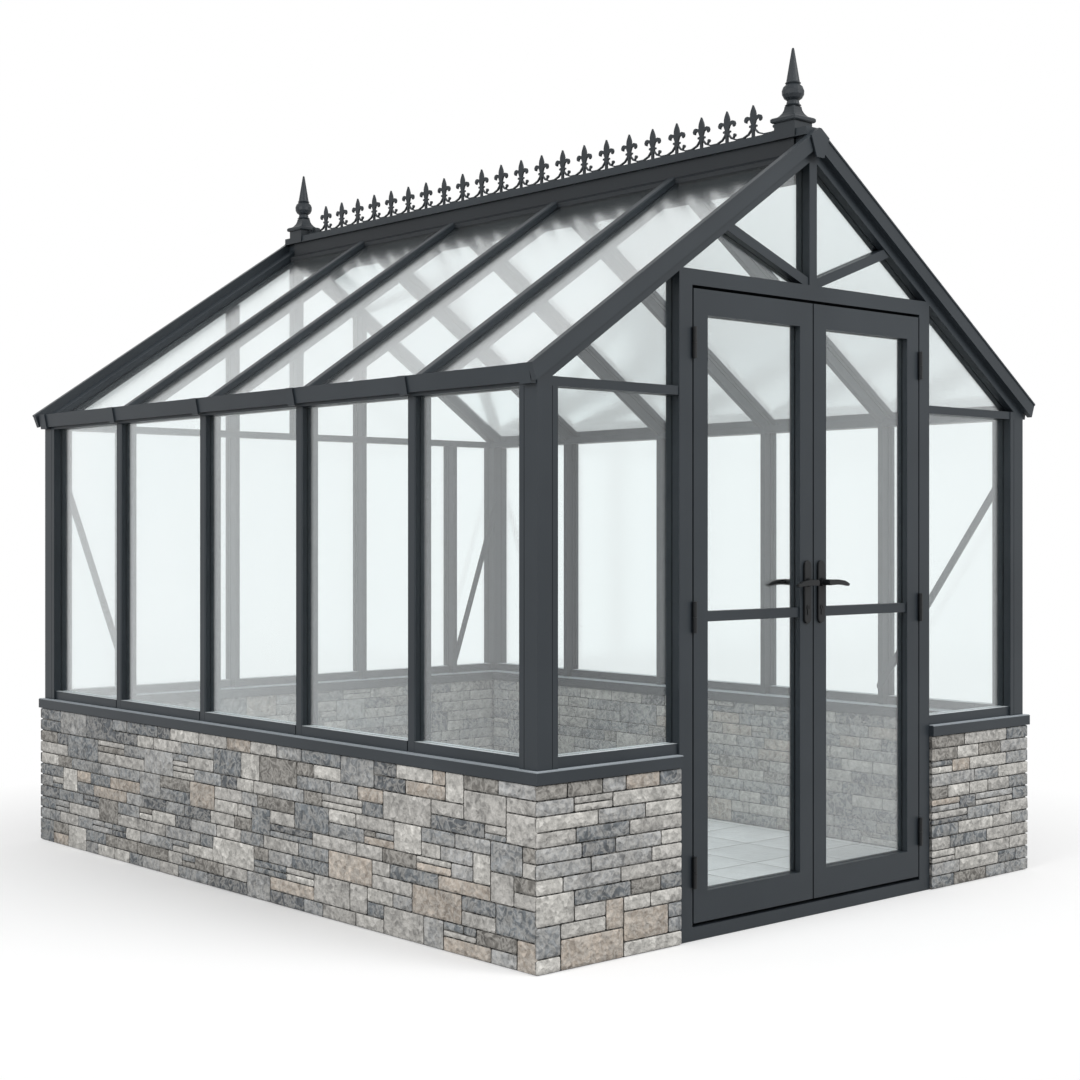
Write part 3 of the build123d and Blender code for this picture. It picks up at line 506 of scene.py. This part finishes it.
def split_blocks(chance, blocks, low, rise):
    """Rectangles (u0, u1, z0, z1) of the stones: some blocks become two thin strips, or a strip and two."""
    stones = []
    for start, end, row, high in blocks:
        bottom, top = low + row * rise, low + (row + high) * rise
        if high == 1 and chance.random() < strip_chance:
            middle = bottom + rise * chance.uniform(*strip_height)
            cut = start + (end - start) * chance.uniform(*short_strip_cut)
            stones.append((start, end, bottom, middle))
            if end - start > least_cut_block and chance.random() < short_strips_chance:
                stones += [(start, cut, middle, top), (cut, end, middle, top)]
            else:
                stones.append((start, end, middle, top))
        else:
            stones.append((start, end, bottom, top))
    return stones


def random_shift(chance):
    """A move of the stone pattern, so that no two stones have the same marks."""
    return np.array([chance.uniform(0, pattern_reach) for _ in range(3)])


def random_tone(chance, hex_code, spread):
    return np.array(colour(hex_code)[:3]) * chance.uniform(*spread)


def stone_lines(span, step, gap):
    """Places of a stone's grid lines across one span: its two edges, and even steps inside the rim."""
    low, high = span[0] + gap / 2, span[1] - gap / 2
    count = max(2, round((high - low) / step))
    return np.concatenate([[low], np.linspace(low + rim_width, high - rim_width, count), [high]])


class Stonework:
    """Gathers grids of points into one mesh with a tone and a pattern shift at every point."""

    def __init__(self):
        self.points, self.faces, self.tones, self.shifts, self.smooth = [], [], [], [], []
        self.count = 0

    def grid(self, points, tones, shift, smooth):
        rows, columns = points.shape[:2]
        index = self.count + np.arange(rows * columns).reshape(rows, columns)
        corners = [index[:-1, :-1], index[:-1, 1:], index[1:, 1:], index[1:, :-1]]
        quads = np.stack(corners, -1).reshape(-1, 4)
        self.points.append(points.reshape(-1, 3))
        self.tones.append(tones.reshape(-1, 3))
        self.shifts.append(np.tile(shift, (rows * columns, 1)))
        self.faces.append(quads)
        self.smooth.append(np.full(len(quads), smooth))
        self.count += rows * columns

    def box(self, low, high, tone):
        """A box with a top and no underside, for a mortar core or a grout bed."""
        (x0, y0, z0), (x1, y1, z1) = low, high
        loop = [(x0, y0), (x1, y0), (x1, y1), (x0, y1), (x0, y0)]
        walls = np.array([[(x, y, z) for x, y in loop] for z in (z0, z1)])
        lid = np.array([[(x0, y0, z1), (x1, y0, z1)], [(x0, y1, z1), (x1, y1, z1)]])
        for points in (walls, lid):
            self.grid(points, np.tile(tone, points.shape[:2] + (1,)), np.zeros(3), False)

    def stone(self, plane, rect, step, tone, shift, sides, drop=rim_drop, height=relief, gap=joint):
        """One stone: a face with relief and a rounded rim, and sides that run back into the joint.

        plane is (origin, along, up, outward), and rect is (u0, u1, z0, z1) on it.
        """
        origin, along, up, outward = plane
        us, zs = stone_lines(rect[:2], step, gap), stone_lines(rect[2:], step, gap)
        v, u = np.meshgrid(zs, us, indexing="ij")
        edge = np.ones_like(u)
        edge[1:-1, 1:-1] = 0
        for i, j, a, b in ((0, 0, 1, 1), (0, -1, 1, -1), (-1, 0, -1, 1), (-1, -1, -1, -1)):
            v[i, j] += a * rim_width / 2
            u[i, j] += b * rim_width / 2
        bumps = value_noise(u / swell[0], v / swell[1], shift[0])
        bumps = bumps + ripple_share * value_noise(u / ripple[0], v / ripple[1], shift[1])
        middle = (1 + ripple_share) / 2
        depth = (bumps / middle - 2) * height * (1 - edge) - edge * (drop + height)
        points = origin + u[..., None] * along + v[..., None] * up + depth[..., None] * outward
        # The rim is made paler than the face: a painted highlight where the rounded rim catches the light.
        self.grid(points, np.clip(tone * (1 + rim_painted_highlight * edge[..., None]), 0, 1), shift, True)

        last_row, last_column = len(zs) - 1, len(us) - 1
        loop = [(0, j) for j in range(last_column + 1)]
        loop += [(i, last_column) for i in range(1, last_row + 1)]
        loop += [(last_row, j) for j in range(last_column - 1, -1, -1)]
        loop += [(i, 0) for i in range(last_row - 1, -1, -1)]
        rim = np.array([points[i, j] for i, j in loop])
        back = rim - outward * (sides - drop - height)
        # The sides that run back into the joint are darkened, most at the back: painted shade.
        tones = np.stack([np.tile(tone * share, (len(rim), 1)) for share in side_painted_shade])
        self.grid(np.stack([back, rim]), tones, shift, False)

    def build(self, name, material, nodes_replaced):
        mesh = bpy.data.meshes.new(name)
        points, faces = np.concatenate(self.points), np.concatenate(self.faces)
        tones, shifts = np.concatenate(self.tones), np.concatenate(self.shifts)
        mesh.vertices.add(len(points))
        mesh.vertices.foreach_set("co", points.astype(np.float32).ravel())
        mesh.loops.add(faces.size)
        mesh.loops.foreach_set("vertex_index", faces.astype(np.int32).ravel())
        mesh.polygons.add(len(faces))
        mesh.polygons.foreach_set("loop_start", np.arange(0, faces.size, 4, dtype=np.int32))
        mesh.polygons.foreach_set("use_smooth", np.concatenate(self.smooth))
        layer = mesh.color_attributes.new("tone", "FLOAT_COLOR", "POINT")
        layer.data.foreach_set("color", np.c_[tones, np.ones(len(tones))].astype(np.float32).ravel())
        layer = mesh.attributes.new("shift", "FLOAT_VECTOR", "POINT")
        layer.data.foreach_set("vector", shifts.astype(np.float32).ravel())
        mesh.update(calc_edges=True)
        mesh.validate()
        mesh.materials.append(material)
        piece = add_object(name, mesh)
        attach(piece, "greenhouse")
        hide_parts(*nodes_replaced)


def clad(work, chance, start, outward, length, levels, rows, step, ends=stone_ends, shade=1.0):
    """Clads a wall face that begins at start, its x and y, and runs to its right, seen from outside.

    levels are its lowest and highest z, and ends are how far its first and last stones run back.
    """
    low, high = levels
    outward = np.array(outward, float)
    up = np.array((0.0, 0.0, 1.0))
    plane = (np.array((*start, 0), float), np.cross(up, outward), up, outward)
    tones, weights = zip(*stone_tones)
    for rect in split_blocks(chance, lay_courses(chance, length, rows), low, (high - low) / rows):
        # shade darkens the stones' tone: painted shade, used on the inner faces.
        tone = random_tone(chance, chance.choices(tones, weights)[0], stone_tone_spread) * shade
        shift = random_shift(chance)
        sides = stone_depth
        if rect[0] < touching:
            sides = ends[0]
        if rect[1] > length - touching:
            sides = ends[1]
        work.stone(plane, rect, step, tone, shift, sides)


def doorway_x():
    """Half the width of the opening between the two front walls."""
    return min(v.co.x for v in nodes["dwarf_walls_front"].data.vertices if v.co.x > 0)


def make_walls(material):
    """Stones on every face of the dwarf walls, around a core of mortar."""
    low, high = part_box("dwarf_walls_side")
    back_low, back_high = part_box("dwarf_wall_back")
    room_x, room_y = back_high.x, back_low.y
    door_x = doorway_x()
    front_length = high.x - door_x
    reveal_length = room_x - door_x
    top = high.z - under_cill
    floor_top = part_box("floor_slab")[1].z
    core = np.array(colour(mortar)[:3])
    chance = random.Random(walling_seed)

    def outside(work, start, outward, length, ends=stone_ends):
        clad(work, chance, start, outward, length, (0, top), courses, outside_step, ends)

    def inside(work, start, outward, length):
        levels = (floor_top, top)
        # The inner faces' stones are darkened: painted shade inside the room.
        clad(work, chance, start, outward, length, levels, inside_courses, inside_step, shade=inside_painted_shade)

    def fill_core(work, xs, ys):
        x0, x1 = sorted(xs)
        work.box((x0, ys[0], 0), (x1, ys[1], top), core)

    for name, side, start_y in (
        ("stone_left_outside", -1, high.y - corner_gap),
        ("stone_right_outside", 1, low.y + corner_gap),
    ):
        work = Stonework()
        outside(work, (side * high.x, start_y), (side, 0, 0), high.y - low.y - 2 * corner_gap)
        core_ys = (low.y + joint_depth, high.y - joint_depth)
        fill_core(work, (side * (room_x + joint_depth), side * (high.x - joint_depth)), core_ys)
        work.build(name, material, ["dwarf_walls_side"])

    work = Stonework()
    ends = (stone_depth, high.x - room_x)
    outside(work, (low.x, low.y), (0, -1, 0), front_length, ends)
    outside(work, (door_x, low.y), (0, -1, 0), front_length, ends[::-1])
    for side in (-1, 1):
        core_ys = (low.y + joint_depth, -room_y - joint_depth)
        fill_core(work, (side * (door_x + core_inset), side * (room_x + core_overlap)), core_ys)
    work.build("stone_front_outside", material, ["dwarf_walls_front", "dwarf_walls_side"])

    work = Stonework()
    outside(work, (high.x, high.y), (0, 1, 0), high.x - low.x)
    core_ys = (room_y + joint_depth, high.y - joint_depth)
    fill_core(work, (-room_x - core_overlap, room_x + core_overlap), core_ys)
    work.build("stone_back_outside", material, ["dwarf_wall_back"])

    work = Stonework()
    inside(work, (-room_x, -room_y), (1, 0, 0), 2 * room_y)
    inside(work, (room_x, room_y), (-1, 0, 0), 2 * room_y)
    inside(work, (room_x, -room_y), (0, 1, 0), reveal_length)
    inside(work, (-door_x, -room_y), (0, 1, 0), reveal_length)
    inside(work, (-room_x, room_y), (0, -1, 0), 2 * room_x)
    replaced = ["dwarf_walls_side", "dwarf_walls_front", "dwarf_wall_back"]
    work.build("stone_inside", material, replaced)


def make_paving(material):
    """Square slabs with fine joints on a grout bed, cut at the walls and in the doorway."""
    low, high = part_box("floor_slab")
    room_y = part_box("dwarf_wall_back")[0].y
    door_x = doorway_x()
    work = Stonework()
    chance = random.Random(paving_seed)
    bed = np.array(colour(grout)[:3])
    room = (low.x, high.x, -room_y, room_y)
    doorway = (-door_x, door_x, low.y, -room_y)
    bed_top = high.z - grout_drop
    for (x0, x1, y0, y1), last_y in ((room, room_y - grout_inset), (doorway, grout_inset - room_y)):
        work.box((x0 + grout_inset, y0 + grout_inset, 0), (x1 - grout_inset, last_y, bed_top), bed)
    half = slab_size / 2
    first, last = math.floor((low.x - half) / slab_size), math.ceil((high.x + half) / slab_size)
    columns = np.arange(first, last + 1) * slab_size + half
    rows = np.arange(0, math.ceil((high.y - low.y) / slab_size) + 1) * slab_size + low.y
    plane = (np.array((0, 0, high.z)), *np.eye(3))
    for x0, x1, y0, y1 in (room, doorway):
        for a, b in zip(columns[:-1], columns[1:]):
            for c, d in zip(rows[:-1], rows[1:]):
                rect = (max(a, x0), min(b, x1), max(c, y0), min(d, y1))
                if rect[1] - rect[0] < least_slab or rect[3] - rect[2] < least_slab:
                    continue
                tone = random_tone(chance, slab_tone, slab_tone_spread)
                shift = random_shift(chance)
                work.stone(
                    plane, rect, slab_step, tone, shift, slab_depth,
                    drop=slab_drop, height=slab_relief, gap=slab_joint,
                )
    work.build("paving_slabs", material, ["floor_slab"])


# Door seals
def seal_outline(edge, middle, side):
    """Half an oval that stands out from the leaf's edge, with its root inside the stile."""
    root = edge + side * seal_root
    turns = [math.pi * step / seal_steps for step in range(seal_steps + 1)]
    oval = [(edge - side * seal_reach * math.sin(t), middle - seal_half * math.cos(t)) for t in turns]
    return [(root, middle - seal_half)] + oval + [(root, middle + seal_half)]


def make_door_seals():
    """A rubber bulb seal down the meeting edge of each leaf.

    The two stop 1 mm apart, so that both leaves swing free.
    """
    rubber = coated_metal("seal_rubber", rubber_tones, roughness=0.62, grain=400.0, peel_strength=0.06)
    for side, leaf in ((-1, "left_door"), (1, "right_door")):
        low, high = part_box(leaf + "_stiles")
        edge = high.x if side < 0 else low.x
        outline = seal_outline(edge, low.y + seal_setback, side)
        count = len(outline)
        points = [(x, y, z) for z in (low.z + seal_end, high.z - seal_end) for x, y in outline]
        faces = [(i, (i + 1) % count, count + (i + 1) % count, count + i) for i in range(count)]
        faces += [tuple(range(count))[::-1], tuple(range(count, 2 * count))]
        mesh = bpy.data.meshes.new(leaf + "_seal")
        mesh.from_pydata(points, [], faces)
        if side > 0:
            mesh.flip_normals()
        mesh.materials.append(rubber)
        piece = add_object(leaf + "_seal", mesh)
        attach(piece, leaf)


# Studio
def seen_directly(tree):
    """1 where the camera sees it straight on, in a reflection or through glass, and 0 for its light."""
    path = add_node(tree, "LightPath")
    seen = maths(tree, "MAXIMUM", path.outputs["Is Camera Ray"], path.outputs["Is Glossy Ray"])
    return maths(tree, "MAXIMUM", seen, path.outputs["Is Transmission Ray"])


def floor_material():
    """A pale floor that keeps the shadow near the object and glows white further off."""
    material, tree, shader = new_material("studio_floor")
    glow = add_node(tree, "Emission")
    away = tree.nodes.new("ShaderNodeVectorMath")
    away.operation = "LENGTH"
    fill(tree, away.inputs[0], object_place(tree))
    near, far = floor_fade
    fade = add_node(tree, "MapRange", value=away.outputs["Value"], from_min=near, from_max=far)
    seen = seen_directly(tree)
    pale = mixed(tree, "MIX", seen, colour(floor_lit), colour(floor_seen))
    fill(tree, shader.inputs["Base Color"], pale)
    fill(tree, shader.inputs["Roughness"], floor_roughness)
    amount = maths(tree, "MULTIPLY", fade.outputs["Result"], seen)
    end_in_mix(tree, amount, shader.outputs["BSDF"], glow.outputs["Emission"])
    return material


def make_floor():
    mesh = bpy.data.meshes.new("floor")
    corners = [(x * floor_reach, y * floor_reach, 0) for x, y in ((-1, -1), (1, -1), (1, 1), (-1, 1))]
    mesh.from_pydata(corners, [], [(0, 1, 2, 3)])
    mesh.materials.append(floor_material())
    floor = add_object("floor", mesh)
    floor.location.z = -floor_drop


def make_world():
    world = bpy.data.worlds.new("world")
    scene.world = world
    world.use_nodes = True
    tree = world.node_tree
    background = tree.nodes["Background"]
    fill(tree, background.inputs["Color"], grey(1))
    fill(tree, background.inputs["Strength"], map_range(tree, seen_directly(tree), *world_strength))


def make_lamp(name, place, power, panes):
    """A round soft lamp that leaves no glare on the panes."""
    data = bpy.data.lights.new(name, "AREA")
    data.shape = "DISK"
    data.size = lamp_size
    data.energy = power
    lamp = add_object(name, data)
    lamp.location = place
    lamp.rotation_euler = (Vector(lamp_target) - Vector(place)).to_track_quat("-Z", "Y").to_euler()
    lamp.light_linking.receiver_collection = panes
    for entry in panes.collection_objects:
        entry.light_linking.link_state = "EXCLUDE"


def make_lamps():
    panes = bpy.data.collections.new("panes")
    for name, target in nodes.items():
        if name.endswith("_glass"):
            panes.objects.link(target)
    for name, (place, power) in lamps.items():
        make_lamp(name, place, power, panes)


make_camera()
finish = finish_nodes()
make_walls(finish["stone_wall"])
make_paving(finish["paving"])
make_door_seals()
make_floor()
make_world()
make_lamps()
scene.view_settings.view_transform = "Standard"
